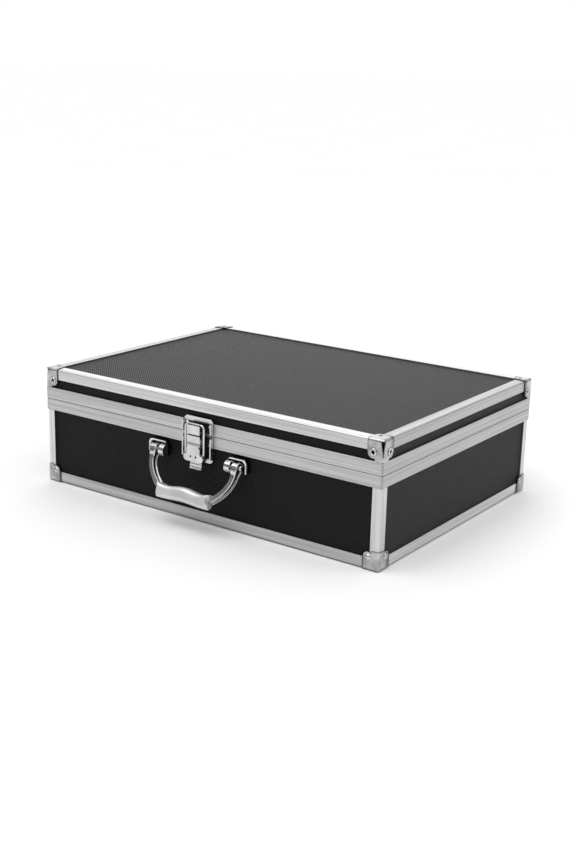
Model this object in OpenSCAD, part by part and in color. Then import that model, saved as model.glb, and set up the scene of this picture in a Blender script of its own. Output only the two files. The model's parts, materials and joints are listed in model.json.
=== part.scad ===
// Attache case: laminated boards held in aluminium edge angles and mouth frames,
// with nickel corner caps, one draw latch, a swinging carrying handle on the front
// wall and two stop hinges on the back wall. Millimetres, +Z up, front faces -Y.

/* [Case] */
// Outside width over the corner caps
case_w = 350; // [300:1:420]
// Outside depth over the corner caps
case_d = 252; // [220:1:300]
// Outside height over the corner caps
case_h = 105; // [100:1:140]
// Height of the line where the lid meets the base
parting_z = 76.5; // [72:0.5:95]
// Thickness of the laminated boards
board_t = 3; // [2.5:0.5:3]

/* [Aluminium edging] */
// Wall of the edge angles
rail_t = 1.2; // [1:0.1:1.4]
// Leg of the edge angles
rail_leg = 9.2; // [8.5:0.1:10]
// Leg of the upright corner angles
post_leg = 8; // [7:0.5:9]
// Height of the base mouth frame
base_frame_h = 10; // [9:0.5:12]
// Height of the lid mouth frame
lid_frame_h = 10.5; // [10:0.5:12]
// Gap between the two mouth frames when closed
parting_gap = 0.3; // [0.2:0.1:0.6]

/* [Corner caps] */
// Sheet thickness of the caps
cap_t = 0.8; // [0.6:0.1:1]
// Outside edge radius of the caps
cap_r = 2.6; // [2.2:0.1:3]
// Reach of a bottom cap along the rails
cap_reach = 15; // [13:0.5:18]
// Height of a bottom cap up the corner
cap_rise = 16; // [14:0.5:20]
// Reach of a top cap along the rails
top_cap_reach = 14.3; // [12:0.1:18]
// Height of a top cap down the corner
top_cap_drop = 17.8; // [16:0.1:18]

/* [Latch] */
// Width of the latch plates
latch_w = 30; // [28:1:34]
// Half width of the bail loop, to the wire centre
bail_half = 9.5; // [9:0.1:10.5]
// Radius of the bail wire
bail_r = 0.9; // [0.7:0.05:1]
// Height of the lever pivot
lever_z = 68.2; // [66:0.1:69]
// Height of the hooked bar of the bail
bar_z = 85.6; // [84:0.1:87]

/* [Handle] */
// Distance from the middle of the case to the outer side of an arm
arm_out = 46.5; // [42:0.5:52]
// Width of an arm
arm_w = 8; // [6:0.5:9]
// Half thickness of an arm
arm_half_t = 2.8; // [2:0.1:3.5]
// Height of the handle pivots
handle_z = 57.5; // [54:0.5:60]
// Rest angle of the handle, out from vertical
handle_tilt = 23; // [15:1:40]
// Half length of the grip
grip_half = 29; // [26:0.5:31]

/* [Hinges] */
// Distance from the middle of the case to a hinge
hinge_x = 110; // [80:1:130]
// Width of a hinge
hinge_w = 34; // [30:1:44]
// Outside radius of the knuckles
knuckle_r = 2.6; // [2.4:0.1:3]
// Length of the tab that stops the lid, from the hinge axis
stop_tab = 5.6; // [5:0.1:6.5]

/* [Interior] */
// Thickness of the floor foam
base_foam_t = 8; // [5:1:12]
// Thickness of the egg-crate foam in the lid
lid_foam_t = 12; // [8:1:13]
// Thickness of the wall lining
lining_t = 1.5; // [1.2:0.1:2]

/* [Hidden] */
$fn = 48;

tiny = 0.01;
fit = 0.05;
over = 1;

// half sizes of the layers, from the caps inwards
half_w = case_w / 2;
half_d = case_d / 2;
rail_x = half_w - cap_t;
rail_y = half_d - cap_t;
board_x = rail_x - rail_t;
board_y = rail_y - rail_t;
inner_x = board_x - board_t;
inner_y = board_y - board_t;
frame_step = 0.2;
frame_x = rail_x + frame_step;
frame_y = rail_y + frame_step;
frame_lip = rail_t + frame_step;
frame_inner_t = 1.2;
frame_depth = frame_lip + board_t + frame_inner_t;
rail_r = cap_r - cap_t;

// heights of the layers
floor_z = cap_t + rail_t;
roof_z = case_h - cap_t - rail_t;
base_frame_z = parting_z - base_frame_h;
lid_frame_z = parting_z + lid_frame_h;
slot_depth = 5;
lid_slot_depth = 5.5;
web_t = 1.5;
base_top_z = parting_z - parting_gap / 2;
lid_low_z = parting_z + parting_gap / 2;
tongue_u = 2.1;
tongue_t = 1.2;
tongue_drop = 2.7;
outer_lip_t = 1.2;

// ends of the rails, kept clear of the posts below and open at the cap slit above
post_gap = 0.2;
rail_relief = cap_t + post_leg + post_gap;
post_low_z = cap_t + rail_r + post_gap;
top_rail_relief = 7;

// reach of a drill below and above the surface that a rivet sits on
drill_in = 7.4;
drill_out = 3.6;

// ears and rivets of the caps, measured from the outside corner
cap_block = 22;
face_band = 3;
cap_band = 10.3;
cap_neck = 7;
ear = [10, 10.8];
ear_r = 4.4;
top_cap_band = 11;
top_cap_neck = 7.5;
top_ear = [9.2, 11];
top_ear_r = 4.8;
flange_band = 5.5;
flange_ear = 8.3;
flange_ear_r = 4.8;
dimple_r = 1.5;
dimple_depth = 0.4;
slit_top = 1.6;
slit_low = 14.4;
slit_w_top = 2.8;
slit_w_low = 0.9;
rivet_head_r = 2.6;
rivet_head_h = 1.1;
rivet_r = 1.6;
rivet_tail_r = 2.2;
rivet_tail_h = 0.7;
eyelet_r = 2.3;
eyelet_hole_r = 1.3;
eyelet_roll_r = 1;
corner_grip = cap_t + rail_t + board_t;

// small rivets of the latch, brackets and hinges
small_head_r = 1.8;
small_head_h = 0.8;
small_r = 1.2;
small_tail_r = 1.7;

// latch
plate_t = 1;
latch_face = frame_y + plate_t;
latch_low_z = 53.5;
latch_high_z = 75;
keeper_low_z = 78;
keeper_high_z = 90.6;
rim_t = 1;
rim_depth = 3;
plate_corner_r = 3.5;
latch_rivet = [11.9, 69.3];
keeper_rivet = [11.8, 83.6];
lever_out = 6.4;
lever_y = -(frame_y + lever_out);
bail_out = 5.8;
bail_y = -(frame_y + bail_out);
bail_drop = 8;
bail_z = lever_z - bail_drop;
bail_bend = 3.2;
elbow_bend = 1.5;
bail_tip = 0.4;
bail_wall = 0.9;
curl_r = 1.6;
lever_pin_r = 0.9;
lever_t = 1;
lever_face = lever_y - curl_r;
ear_x = 6.8;
ear_t = 1;
bridge_rise = 2;
bridge_z = lever_z + bridge_rise;
bridge_top_z = 76.2;
lever_low_z = 54.5;
lever_wide = 10;
lever_wide_h = 4.2;
lever_corner_r = 3;
lever_gap = 0.2;
lever_neck = ear_x - ear_t - lever_gap;
lever_notch = 0.4;
flange_low_z = 56.5;
flange_drop = 1.9;
flange_high_z = lever_z - flange_drop;
flange_trim = 0.4;
tab_half = 6;
tab_back = 4;
tab_step = 1.6;
tab_flare = [1.7, 5.2];
tab_roll_r = 0.8;
dimple_x = 2.8;
dimple_z = 58.6;
lever_dimple_r = 0.9;
lever_dimple_depth = 0.7;
hook_half = 6.7;
hook_play = 0.1;
hook_floor_z = bar_z - bail_r - hook_play;
hook_low_z = 77.4;
hook_gap = 1.45;
hook_lip_h = 0.5;
hook_t = 0.8;
hook_face = bail_y - hook_gap - hook_t;

// handle
bracket_in = 32;
bracket_out = 51;
bracket_low_z = 53;
bracket_high_z = 64.5;
bracket_rim_t = 1.3;
bracket_rim_depth = 5;
bracket_corner_r = 4;
knob_w = 5.2;
knob_r = 5.4;
knob_z = 56.5;
knob_out = 4.6;
knob_y = -(board_y + knob_out);
handle_out = 6.5;
handle_y = -(board_y + handle_out);
handle_pin_r = 1.6;
pin_head_r = 2.3;
pin_head_t = 1;
pin_inset = 1;
pin_head_gap = 0.3;
head_r = 4;
stop_out = 3.9;
stop_y = -(board_y + stop_out);
stop_t = 1.3;
stop_z = bracket_low_z + stop_t;
bracket_rivet_x = [40.5, 47.4];
bracket_rivet_z = 58.5;
arc_drop = 2.2;
arm_edge_r = 1;
arc_out = sqrt(pow(arm_out, 2) + pow(arc_drop, 2));
arc_in = arc_out - arm_w;
core_s = [27.5, 33];
core_inset = 1;
arm_side_gap = 0.1;
grip_s = [25, 38.6];
grip_n = [-8.5, 6];
grip_round = 4.6;
grip_arch = 2.2;
grip_arch_half = 24;
grip_bulge = 1.8;
grip_bulge_half = 14;
grip_edge_cut = 1;
grip_slot_x = 15;

// hinges
hinge_y = frame_y + knuckle_r;
leaf_t = 1.2;
leaf_h = 9.6;
hinge_pin_r = 1.25;
knuckle_gap = 0.3;
centre_knuckle = 6;
leaf_clear = 0.3;
hinge_rivet_x = 12;
hinge_rivet_z = 7.1;
tab_t = 1.4;
tab_half_w = 4.6;

// foam
foam_gap = 0.2;
lining_top_gap = 0.2;
foam_x = inner_x - lining_t - foam_gap;
foam_y = inner_y - lining_t - foam_gap;

// the case is shifted so that the middle of the whole outline is at y = 0
front_reach = -handle_y + grip_s[1] * sin(handle_tilt) - grip_n[0] * cos(handle_tilt)
    - grip_edge_cut;
back_reach = hinge_y + stop_tab;
case_y = (front_reach - back_reach) / 2;

alu = [0.76, 0.76, 0.77];
nickel = [0.72, 0.72, 0.71];
laminate = [0.07, 0.07, 0.08];
foam = [0.12, 0.12, 0.13];
cloth = [0.09, 0.09, 0.1];
pearl = [0.8, 0.8, 0.8];

// ---- general helpers

module placed() {
    translate([0, case_y, 0]) children();
}

module flip(direction, on) {
    if (on) {
        mirror(direction) children();
    } else {
        children();
    }
}

// moves a shape drawn inward from the origin (+X, +Y, +Z) to one outside corner
module at_corner(sx, sy, top) {
    translate([sx * half_w, sy * half_d, top ? case_h : 0])
        flip([1, 0, 0], sx > 0)
            flip([0, 1, 0], sy > 0)
                flip([0, 0, 1], top)
                    children();
}

module at_all_corners(top) {
    for (sx = [-1, 1], sy = [-1, 1]) {
        at_corner(sx, sy, top) children();
    }
}

module both_sides() {
    for (s = [-1, 1]) {
        flip([1, 0, 0], s < 0) children();
    }
}

// a profile drawn as (y, z), run along X and centred on it
module along_x(length) {
    rotate([90, 0, 90]) linear_extrude(length, center = true) children();
}

// a shape drawn for the front wall, turned to face one of the four sides
module on_side(side) {
    rotate([0, 0, side * 90]) children();
}

module block(lo, hi) {
    translate(lo) cube(hi - lo);
}

// square with its corner at the origin rounded
module rounded_corner(size, r) {
    difference() {
        square(size);
        difference() {
            translate([-tiny, -tiny]) square(r + tiny);
            translate([r, r]) circle(r);
        }
    }
}

module rounded_rect(size, r) {
    union() {
        translate([r, 0]) square([size[0] - 2 * r, size[1]]);
        translate([0, r]) square([size[0], size[1] - 2 * r]);
        for (x = [r, size[0] - r], y = [r, size[1] - r]) {
            translate([x, y]) circle(r);
        }
    }
}

// ---- rivets, drawn with the head above z = 0 and the shank below

module dome_rivet(head_r, head_h, shank_r, grip, tail_r) {
    ball = (head_r * head_r + head_h * head_h) / (2 * head_h);
    rotate_extrude() {
        intersection() {
            translate([0, head_h - ball]) circle(ball, $fn = 96);
            square([head_r, head_h]);
        }
        translate([0, -grip]) square([shank_r, grip]);
        translate([0, -grip - rivet_tail_h]) square([tail_r, rivet_tail_h]);
    }
}

module corner_rivet() {
    dome_rivet(rivet_head_r, rivet_head_h, rivet_r, corner_grip, rivet_tail_r);
}

module small_rivet(grip) {
    dome_rivet(small_head_r, small_head_h, small_r, grip, small_tail_r);
}

module eyelet() {
    rotate_extrude() {
        difference() {
            translate([eyelet_r, 0]) circle(eyelet_roll_r);
            translate([0, -eyelet_roll_r]) square([eyelet_r * 2, eyelet_roll_r]);
        }
        translate([eyelet_hole_r, -corner_grip])
            square([eyelet_r - eyelet_hole_r, corner_grip + tiny]);
        translate([eyelet_hole_r, -corner_grip - rivet_tail_h])
            square([rivet_tail_r + eyelet_roll_r - eyelet_hole_r, rivet_tail_h]);
    }
}

// places a rivet on both upright faces of one corner, at (along, up) from the corner
module on_corner_faces(spot) {
    translate([spot[0], 0, spot[1]]) rotate([90, 0, 0]) children();
    translate([0, spot[0], spot[1]]) rotate([0, -90, 0]) children();
}

module drill(r) {
    translate([0, 0, -drill_in]) cylinder(r = r, h = drill_in + drill_out);
}

module bottom_cap_holes() {
    at_all_corners(false) on_corner_faces(ear) drill(rivet_r + fit);
}

module top_cap_holes() {
    at_all_corners(true) on_corner_faces(top_ear) drill(eyelet_r + fit);
}

// places a rivet on the front wall, head outward at depth y
module on_front(x, y, z) {
    translate([x, y, z]) rotate([90, 0, 0]) children();
}

module on_back(x, y, z) {
    translate([x, y, z]) rotate([-90, 0, 0]) children();
}

module bracket_rivet_spots() {
    both_sides() for (x = bracket_rivet_x) {
        on_front(x, -(board_y + plate_t), bracket_rivet_z) children();
    }
}

module latch_rivet_spots(spot) {
    both_sides() on_front(spot[0], -latch_face, spot[1]) children();
}

module hinge_rivet_spots(z) {
    both_sides() for (x = [hinge_x - hinge_rivet_x, hinge_x + hinge_rivet_x]) {
        on_back(x, frame_y + leaf_t, z) children();
    }
}

module base_hardware_holes() {
    bracket_rivet_spots() drill(small_r + fit);
    latch_rivet_spots(latch_rivet) drill(small_r + fit);
    hinge_rivet_spots(parting_z - hinge_rivet_z) drill(small_r + fit);
}

module lid_hardware_holes() {
    latch_rivet_spots(keeper_rivet) drill(small_r + fit);
    hinge_rivet_spots(parting_z + hinge_rivet_z) drill(small_r + fit);
}

// ---- boards

module base_board(lo, hi) {
    placed() color(laminate) difference() {
        block(lo, hi);
        bottom_cap_holes();
        base_hardware_holes();
    }
}

module lid_board(lo, hi) {
    placed() color(laminate) difference() {
        block(lo, hi);
        top_cap_holes();
        lid_hardware_holes();
    }
}

base_board_top = base_frame_z + slot_depth;
lid_board_low = lid_frame_z - lid_slot_depth;

module base_bottom_panel() {
    placed() color(laminate)
        block([-inner_x, -inner_y, floor_z], [inner_x, inner_y, floor_z + board_t]);
}

module base_front_panel() {
    base_board([-board_x, -board_y, floor_z], [board_x, -inner_y, base_board_top]);
}

module base_back_panel() {
    base_board([-board_x, inner_y, floor_z], [board_x, board_y, base_board_top]);
}

module base_left_panel() {
    base_board([-board_x, -inner_y, floor_z], [-inner_x, inner_y, base_board_top]);
}

module base_right_panel() {
    base_board([inner_x, -inner_y, floor_z], [board_x, inner_y, base_board_top]);
}

module lid_top_panel() {
    placed() color(laminate)
        block([-inner_x, -inner_y, roof_z - board_t], [inner_x, inner_y, roof_z]);
}

module lid_front_panel() {
    lid_board([-board_x, -board_y, lid_board_low], [board_x, -inner_y, roof_z]);
}

module lid_back_panel() {
    lid_board([-board_x, inner_y, lid_board_low], [board_x, board_y, roof_z]);
}

module lid_left_panel() {
    lid_board([-board_x, -inner_y, lid_board_low], [-inner_x, inner_y, roof_z]);
}

module lid_right_panel() {
    lid_board([inner_x, -inner_y, lid_board_low], [board_x, inner_y, roof_z]);
}

// ---- aluminium angles

module angle_profile(leg) {
    difference() {
        rounded_corner(leg, rail_r);
        translate([rail_t, rail_t]) square(leg);
    }
}

// mitred outline of one side, seen from above, for a ring of half size (hx, hy)
module mitre(hx, hy, depth, relief) {
    linear_extrude(case_h) intersection() {
        polygon([[-hx, -hy], [hx, -hy], [hx - depth, -hy + depth], [-hx + depth, -hy + depth]]);
        translate([-hx + relief, -hy]) square([2 * (hx - relief), depth]);
    }
}

// one edge angle, on the side given, along the floor or under the roof
module edge_rail(side, top) {
    hx = side % 2 == 0 ? rail_x : rail_y;
    hy = side % 2 == 0 ? rail_y : rail_x;
    relief = (top ? top_rail_relief : rail_relief) - cap_t;
    placed() color(alu) difference() {
        on_side(side) intersection() {
            along_x(2 * hx)
                translate([-hy, top ? case_h - cap_t : cap_t])
                    flip([0, 1], top)
                        angle_profile(rail_leg);
            mitre(hx, hy, rail_leg, relief);
        }
        if (top) {
            top_cap_holes();
        } else {
            bottom_cap_holes();
        }
    }
}

module bottom_rail_front() {
    edge_rail(0, false);
}

module bottom_rail_right() {
    edge_rail(1, false);
}

module bottom_rail_back() {
    edge_rail(2, false);
}

module bottom_rail_left() {
    edge_rail(3, false);
}

module top_rail_front() {
    edge_rail(0, true);
}

module top_rail_right() {
    edge_rail(1, true);
}

module top_rail_back() {
    edge_rail(2, true);
}

module top_rail_left() {
    edge_rail(3, true);
}

module corner_post(sx, sy) {
    placed() color(alu) difference() {
        at_corner(sx, sy, false)
            translate([cap_t, cap_t, post_low_z])
                linear_extrude(base_frame_z - post_low_z)
                    angle_profile(post_leg);
        bottom_cap_holes();
    }
}

module corner_post_front_left() {
    corner_post(-1, -1);
}

module corner_post_front_right() {
    corner_post(1, -1);
}

module corner_post_back_left() {
    corner_post(-1, 1);
}

module corner_post_back_right() {
    corner_post(1, 1);
}

// ---- mouth frames, drawn as (depth from the outer face, z)

module base_frame_profile() {
    difference() {
        translate([0, base_frame_z]) square([frame_depth, base_top_z - base_frame_z]);
        translate([frame_lip, base_frame_z - tiny]) square([board_t, slot_depth + tiny]);
        translate([outer_lip_t, base_frame_z + slot_depth + web_t])
            square([frame_depth - frame_inner_t - outer_lip_t, base_frame_h]);
    }
}

module lid_frame_profile() {
    difference() {
        translate([0, lid_low_z]) square([frame_depth, lid_frame_z - lid_low_z]);
        translate([frame_lip, lid_board_low]) square([board_t, lid_slot_depth + tiny]);
        translate([frame_lip, lid_low_z - tiny])
            square([board_t, lid_board_low - web_t - lid_low_z + tiny]);
    }
    translate([tongue_u, parting_z - tongue_drop])
        square([tongue_t, lid_board_low - parting_z + tongue_drop - tiny]);
}

module mouth_frame(side) {
    hx = side % 2 == 0 ? frame_x : frame_y;
    hy = side % 2 == 0 ? frame_y : frame_x;
    on_side(side) intersection() {
        along_x(2 * hx) translate([-hy, 0]) children();
        mitre(hx, hy, frame_depth, 0);
    }
}

module base_frame(side) {
    placed() color(alu) difference() {
        mouth_frame(side) base_frame_profile();
        base_hardware_holes();
    }
}

module lid_frame(side) {
    placed() color(alu) difference() {
        mouth_frame(side) lid_frame_profile();
        lid_hardware_holes();
    }
}

module base_frame_front() {
    base_frame(0);
}

module base_frame_right() {
    base_frame(1);
}

module base_frame_back() {
    base_frame(2);
}

module base_frame_left() {
    base_frame(3);
}

module lid_frame_front() {
    lid_frame(0);
}

module lid_frame_right() {
    lid_frame(1);
}

module lid_frame_back() {
    lid_frame(2);
}

module lid_frame_left() {
    lid_frame(3);
}

// ---- corner caps, drawn inward from the outside corner

module corner_block(r) {
    intersection() {
        linear_extrude(cap_block) rounded_corner(cap_block, r);
        rotate([90, 0, 90]) linear_extrude(cap_block) rounded_corner(cap_block, r);
        translate([0, cap_block, 0])
            rotate([90, 0, 0]) linear_extrude(cap_block) rounded_corner(cap_block, r);
    }
}

// band behind each of the two upright faces, with the outline drawn as (along, up)
module upright_bands(depth) {
    translate([0, depth, 0]) rotate([90, 0, 0]) linear_extrude(depth) children();
    rotate([90, 0, 90]) linear_extrude(depth) children();
}

module flange_outline(reach) {
    square([reach, flange_band]);
    square([flange_band, reach]);
    translate([flange_ear, flange_ear]) circle(flange_ear_r);
}

module bottom_cap_outline() {
    square([cap_reach, cap_band]);
    square([cap_neck, cap_rise]);
    translate(ear) circle(ear_r);
}

module top_cap_outline() {
    square([top_cap_reach, top_cap_band]);
    square([top_cap_neck, top_cap_drop]);
    translate(top_ear) circle(top_ear_r);
}

module cap_shell() {
    difference() {
        corner_block(cap_r);
        translate([cap_t, cap_t, cap_t]) corner_block(rail_r);
    }
}

module bottom_cap(sx, sy) {
    placed() color(nickel) at_corner(sx, sy, false) difference() {
        intersection() {
            cap_shell();
            union() {
                upright_bands(face_band) bottom_cap_outline();
                linear_extrude(face_band) flange_outline(cap_reach);
            }
        }
        on_corner_faces(ear) drill(rivet_r + fit);
    }
}

// the upright edge of a top cap stands open in a slit that narrows downwards
module cap_slit() {
    intersection() {
        slit = [
            [-over, slit_top], [slit_w_top, slit_top], [slit_w_low, slit_low], [-over, slit_low]
        ];
        translate([0, face_band, 0])
            rotate([90, 0, 0]) linear_extrude(2 * face_band) polygon(slit);
        translate([-face_band, 0, 0])
            rotate([90, 0, 90]) linear_extrude(2 * face_band) polygon(slit);
    }
}

module top_cap(sx, sy) {
    placed() color(nickel) at_corner(sx, sy, true) difference() {
        intersection() {
            cap_shell();
            union() {
                upright_bands(face_band) top_cap_outline();
                linear_extrude(face_band) flange_outline(top_cap_reach);
            }
        }
        on_corner_faces(top_ear) drill(eyelet_r + fit);
        cap_slit();
        translate([flange_ear, flange_ear, -tiny]) cylinder(r = dimple_r, h = dimple_depth);
    }
}

module bottom_cap_front_left() {
    bottom_cap(-1, -1);
}

module bottom_cap_front_right() {
    bottom_cap(1, -1);
}

module bottom_cap_back_left() {
    bottom_cap(-1, 1);
}

module bottom_cap_back_right() {
    bottom_cap(1, 1);
}

module top_cap_front_left() {
    top_cap(-1, -1);
}

module top_cap_front_right() {
    top_cap(1, -1);
}

module top_cap_back_left() {
    top_cap(-1, 1);
}

module top_cap_back_right() {
    top_cap(1, 1);
}

module bottom_cap_rivets() {
    placed() color(nickel) at_all_corners(false) on_corner_faces(ear) corner_rivet();
}

module top_cap_eyelets() {
    placed() color(nickel) at_all_corners(true) on_corner_faces(top_ear) eyelet();
}

// ---- interior

module base_foam() {
    placed() color(foam)
        block([-foam_x, -foam_y, floor_z + board_t],
              [foam_x, foam_y, floor_z + board_t + base_foam_t]);
}

module base_wall_lining() {
    low = floor_z + board_t;
    high = base_frame_z - lining_top_gap;
    placed() color(cloth) difference() {
        block([-inner_x, -inner_y, low], [inner_x, inner_y, high]);
        block([-inner_x + lining_t, -inner_y + lining_t, low - over],
              [inner_x - lining_t, inner_y - lining_t, high + over]);
        at_all_corners(false) on_corner_faces(ear)
            translate([0, 0, -corner_grip - rivet_tail_h - fit])
                cylinder(r = rivet_tail_r + fit, h = corner_grip);
        bracket_rivet_spots()
            translate([0, 0, -board_t - plate_t - rivet_tail_h - fit])
                cylinder(r = small_tail_r + fit, h = board_t);
    }
}

module lid_foam() {
    placed() color(foam)
        block([-foam_x, -foam_y, roof_z - board_t - lid_foam_t],
              [foam_x, foam_y, roof_z - board_t]);
}

// ---- small rivets

module base_hardware_rivets() {
    placed() color(nickel) {
        bracket_rivet_spots() small_rivet(board_t + plate_t);
        latch_rivet_spots(latch_rivet) small_rivet(frame_depth + plate_t);
        hinge_rivet_spots(parting_z - hinge_rivet_z) small_rivet(frame_depth + leaf_t);
    }
}

module lid_hardware_rivets() {
    placed() color(nickel) {
        latch_rivet_spots(keeper_rivet) small_rivet(frame_depth + plate_t);
        hinge_rivet_spots(parting_z + hinge_rivet_z) small_rivet(frame_depth + leaf_t);
    }
}

// ---- hinges

module knuckle(x0, x1) {
    translate([x0, hinge_y, parting_z]) rotate([0, 90, 0]) cylinder(r = knuckle_r, h = x1 - x0);
}

module hinge_bore() {
    translate([-hinge_w, hinge_y, parting_z])
        rotate([0, 90, 0]) cylinder(r = hinge_pin_r + fit, h = 2 * hinge_w);
}

module hinge_base_leaf() {
    half = hinge_w / 2;
    side_knuckle = centre_knuckle + knuckle_gap;
    clear_z = parting_z - knuckle_r - leaf_clear;
    difference() {
        union() {
            block([-half, frame_y, parting_z - leaf_h], [half, frame_y + leaf_t, clear_z]);
            both_sides() {
                block([side_knuckle, frame_y, clear_z - tiny],
                      [half, frame_y + leaf_t, parting_z]);
                knuckle(side_knuckle, half);
            }
        }
        hinge_bore();
        for (x = [-hinge_rivet_x, hinge_rivet_x]) {
            on_back(x, frame_y + leaf_t, parting_z - hinge_rivet_z) drill(small_r + fit);
        }
    }
}

module hinge_lid_leaf() {
    half = hinge_w / 2;
    clear_z = parting_z + knuckle_r + leaf_clear;
    difference() {
        union() {
            block([-half, frame_y, clear_z], [half, frame_y + leaf_t, parting_z + leaf_h]);
            block([-centre_knuckle, frame_y, parting_z],
                  [centre_knuckle, frame_y + leaf_t, clear_z + tiny]);
            knuckle(-centre_knuckle, centre_knuckle);
            block([-tab_half_w, hinge_y, parting_z - tab_t / 2],
                  [tab_half_w, hinge_y + stop_tab, parting_z + tab_t / 2]);
        }
        hinge_bore();
        for (x = [-hinge_rivet_x, hinge_rivet_x]) {
            on_back(x, frame_y + leaf_t, parting_z + hinge_rivet_z) drill(small_r + fit);
        }
    }
}

module at_hinges() {
    for (x = [-hinge_x, hinge_x]) {
        translate([x, 0, 0]) children();
    }
}

module hinge_base_leaves() {
    placed() color(nickel) at_hinges() hinge_base_leaf();
}

module hinge_lid_leaves() {
    placed() color(nickel) at_hinges() hinge_lid_leaf();
}

module hinge_pins() {
    placed() color(nickel) at_hinges()
        translate([-hinge_w / 2, hinge_y, parting_z])
            rotate([0, 90, 0]) cylinder(r = hinge_pin_r, h = hinge_w);
}

// ---- latch

// plate outline as (x, z), with two rounded corners at the top or at the bottom
module plate_outline(low, high, rounded_top) {
    r = plate_corner_r;
    half = latch_w / 2;
    end = rounded_top ? high - r : low + r;
    translate([-half, rounded_top ? low : end]) square([latch_w, high - low - r]);
    translate([-half + r, rounded_top ? end - tiny : low])
        square([latch_w - 2 * r, r + tiny]);
    for (s = [-1, 1]) {
        translate([s * (half - r), end]) circle(r);
    }
}

// front-wall sheet: an (x, z) outline standing from depth y_back out to y_front
module wall_sheet(y_front, y_back) {
    translate([0, y_back, 0]) rotate([90, 0, 0]) linear_extrude(y_back - y_front) children();
}

module side_rims(low, high) {
    both_sides()
        block([latch_w / 2 - rim_t, -latch_face - rim_depth, low],
              [latch_w / 2, -latch_face + tiny, high]);
}

module lever_bore(r) {
    translate([-latch_w, lever_y, lever_z]) rotate([0, 90, 0]) cylinder(r = r, h = 2 * latch_w);
}

module bail_bore(r) {
    translate([-latch_w, bail_y, bail_z]) rotate([0, 90, 0]) cylinder(r = r, h = 2 * latch_w);
}

// ears of the latch base: upright webs that run out to the lever pivot
module pivot_ear() {
    block([ear_x - ear_t, lever_y, lever_z - curl_r],
          [ear_x, -latch_face + tiny, bridge_top_z]);
    block([ear_x - ear_t, lever_face + lever_t / 2, bridge_z],
          [ear_x, lever_y + tiny, bridge_top_z]);
    translate([ear_x - ear_t, lever_y, lever_z])
        rotate([0, 90, 0]) cylinder(r = curl_r, h = ear_t);
}

module latch_base_plate() {
    skirt_z = base_frame_z - post_gap;
    placed() color(nickel) difference() {
        union() {
            wall_sheet(-latch_face, -frame_y) plate_outline(latch_low_z, latch_high_z, false);
            side_rims(latch_low_z + plate_corner_r, latch_high_z);
            both_sides()
                block([latch_w / 2 - rim_t, -latch_face, latch_low_z + plate_corner_r],
                      [latch_w / 2, -board_y, skirt_z]);
            block([-latch_w / 2 + plate_corner_r, -latch_face, latch_low_z],
                  [latch_w / 2 - plate_corner_r, -board_y, latch_low_z + rim_t]);
            both_sides() pivot_ear();
            block([-ear_x, lever_face + lever_t / 4, bridge_z],
                  [ear_x, lever_face + lever_t, bridge_top_z]);
        }
        lever_bore(lever_pin_r + fit);
        latch_rivet_spots(latch_rivet) drill(small_r + fit);
    }
}

module latch_lever_pin() {
    placed() color(nickel)
        translate([-ear_x, lever_y, lever_z])
            rotate([0, 90, 0]) cylinder(r = lever_pin_r, h = 2 * ear_x);
}

// the lever hangs from its curl; drawn as the front plate, two side flanges and the tab
module latch_lever() {
    wide_z = lever_low_z + lever_wide_h;
    narrow_z = lever_z - curl_r - lever_notch;
    placed() color(nickel) difference() {
        union() {
            translate([-lever_neck, lever_y, lever_z])
                rotate([0, 90, 0]) cylinder(r = curl_r, h = 2 * lever_neck);
            block([-lever_neck, lever_face, narrow_z - tiny],
                  [lever_neck, lever_face + lever_t, lever_z]);
            block([-ear_x, lever_face, wide_z - tiny], [ear_x, lever_face + lever_t, narrow_z]);
            wall_sheet(lever_face, lever_face + lever_t) {
                translate([-lever_wide, lever_low_z + lever_corner_r])
                    square([2 * lever_wide, lever_wide_h - lever_corner_r]);
                translate([-lever_wide + lever_corner_r, lever_low_z])
                    square([2 * (lever_wide - lever_corner_r), lever_wide_h]);
                for (s = [-1, 1]) {
                    translate([s * (lever_wide - lever_corner_r), lever_low_z + lever_corner_r])
                        circle(lever_corner_r);
                }
            }
            both_sides() lever_flange();
            lever_tab();
        }
        lever_bore(lever_pin_r + fit);
        bail_bore(bail_r + fit);
        for (s = [-1, 1]) {
            translate([s * dimple_x, lever_face + lever_dimple_depth, dimple_z])
                rotate([90, 0, 0]) cylinder(r = lever_dimple_r, h = over);
        }
    }
}

module lever_flange() {
    reach = bail_r + fit + bail_wall;
    block([ear_x - lever_t, lever_face + tiny, flange_low_z],
          [ear_x, bail_y, flange_high_z]);
    block([ear_x - lever_t, bail_y - tiny, bail_z - reach],
          [ear_x, bail_y + reach - flange_trim, bail_z + reach]);
}

// tab bent back behind the plate and then down, with a rolled end
module lever_tab() {
    y0 = lever_face + lever_t;
    y1 = y0 + tab_back;
    z0 = lever_low_z;
    z1 = z0 - tab_step;
    along_x(2 * tab_half)
        polygon([
            [y0 - tiny, z0 + tab_step], [y0 - tiny, z0], [y1 - lever_t, z1],
            [y1 - tab_flare[0], z1 - tab_flare[1]],
            [y1 - tab_flare[0] + lever_t, z1 - tab_flare[1]],
            [y1, z1], [y1, z1 + lever_t], [y0 + lever_t, z0 + tab_step]
        ]);
    translate([-tab_half, y1 - tab_flare[0] + lever_t / 2, z1 - tab_flare[1]])
        rotate([0, 90, 0]) cylinder(r = tab_roll_r, h = 2 * tab_half);
}

module wire(length) {
    cylinder(r = bail_r, h = length);
}

// quarter bend of the bail wire, from +Z to +X, starting at the origin
module wire_bend(r) {
    translate([r, 0, 0])
        rotate([90, 0, 0]) rotate([0, 0, 90]) rotate_extrude(angle = 90)
            translate([r, 0]) circle(bail_r);
}

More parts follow.
